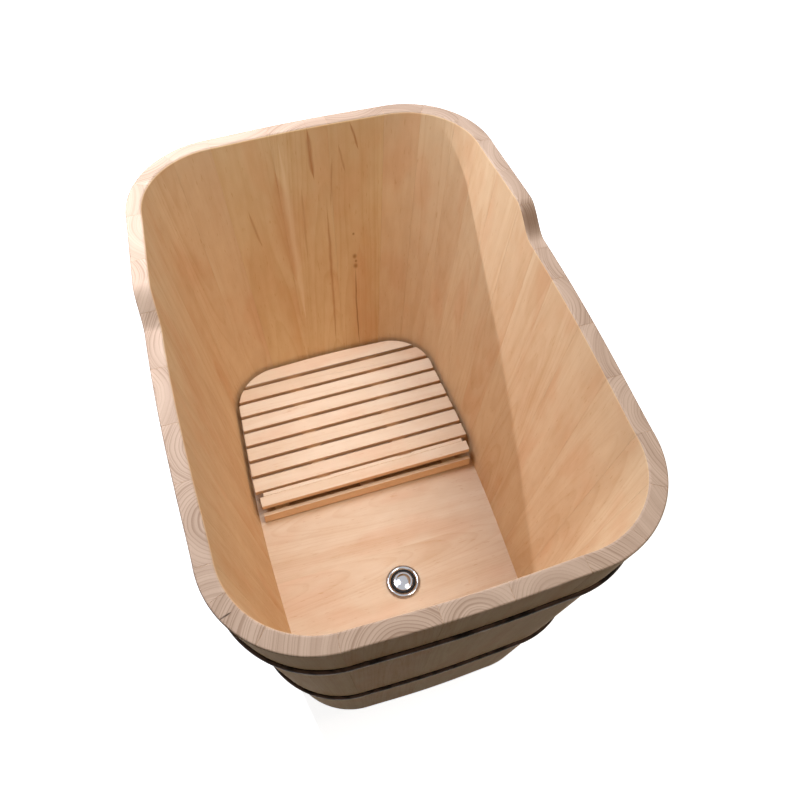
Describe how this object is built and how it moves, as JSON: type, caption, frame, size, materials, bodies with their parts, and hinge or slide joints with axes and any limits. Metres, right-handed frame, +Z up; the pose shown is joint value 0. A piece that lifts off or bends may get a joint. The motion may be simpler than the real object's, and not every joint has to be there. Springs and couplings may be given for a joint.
{
  "type": "japanese soaking tub",
  "caption": "Deep wooden soaking tub of upright staves with two dark metal hoops, a rim raised round the back, a lift-out slatted seat and a pop-up drain plug.",
  "frame": {"origin": "on the ground, in the middle of the tub's plan over its rim", "axes": "+Z up; -Y towards the low foot end with the drain, +Y towards the raised back rim and the seat; +X to the right seen from the foot end"},
  "size_m": [0.6892, 0.9852, 0.762],
  "materials": {
    "stave_wood": "satin, unpainted pale conifer wood with upright grain",
    "floor_wood": "satin, grain across the tub",
    "bearer_wood": "sawn, unpainted",
    "seat_wood": "satin, planed slats",
    "hoop_metal": "dark brown patina",
    "chrome": "polished plating",
    "black_rubber": "matt black",
    "plain_brass": "turned, unplated"
  },
  "bodies": {
    "tub": {"front_right_stave_1": "stave_wood", "front_right_stave_2": "stave_wood", "front_right_stave_3": "stave_wood", "right_stave_1": "stave_wood", "right_stave_2": "stave_wood", "right_stave_3": "stave_wood", "right_stave_4": "stave_wood", "right_stave_5": "stave_wood", "right_stave_6": "stave_wood", "right_stave_7": "stave_wood", "back_right_stave_1": "stave_wood", "back_right_stave_2": "stave_wood", "back_right_stave_3": "stave_wood", "back_stave_1": "stave_wood", "back_stave_2": "stave_wood", "back_stave_3": "stave_wood", "back_left_stave_1": "stave_wood", "back_left_stave_2": "stave_wood", "back_left_stave_3": "stave_wood", "left_stave_1": "stave_wood", "left_stave_2": "stave_wood", "left_stave_3": "stave_wood", "left_stave_4": "stave_wood", "left_stave_5": "stave_wood", "left_stave_6": "stave_wood", "front_left_stave_1": "stave_wood", "front_left_stave_2": "stave_wood", "front_left_stave_3": "stave_wood", "front_stave_1": "stave_wood", "front_stave_2": "stave_wood", "front_stave_3": "stave_wood", "floor_board_front": "floor_wood", "floor_board_2": "floor_wood", "floor_board_3": "floor_wood", "floor_board_back": "floor_wood", "floor_bearer_left": "bearer_wood", "floor_bearer_right": "bearer_wood", "lower_hoop": "hoop_metal", "upper_hoop": "hoop_metal", "waste_body": "chrome", "flange_gasket": "black_rubber", "under_floor_washer": "black_rubber", "lock_nut": "plain_brass"},
    "seat": {"seat_slat_1": "seat_wood", "seat_slat_2": "seat_wood", "seat_slat_3": "seat_wood", "seat_slat_4": "seat_wood", "seat_slat_5": "seat_wood", "seat_slat_6": "seat_wood", "seat_slat_7": "seat_wood", "seat_slat_8": "seat_wood", "seat_nosing": "seat_wood", "seat_cross_rail": "seat_wood", "seat_batten_left": "seat_wood", "seat_batten_right": "seat_wood", "seat_front_board": "seat_wood", "seat_spacer_blocks": "seat_wood"},
    "plug": {"plug_cap": "chrome", "plug_seal": "black_rubber", "plug_stem": "plain_brass"}
  },
  "joints": [
    {"name": "seat_lift", "type": "slide", "parent": "tub", "child": "seat", "axis": [0, 0, 1], "range_m": [0, 0.7]},
    {"name": "plug_lift", "type": "slide", "parent": "tub", "child": "plug", "axis": [0, 0, 1], "range_m": [0, 0.008]}
  ]
}
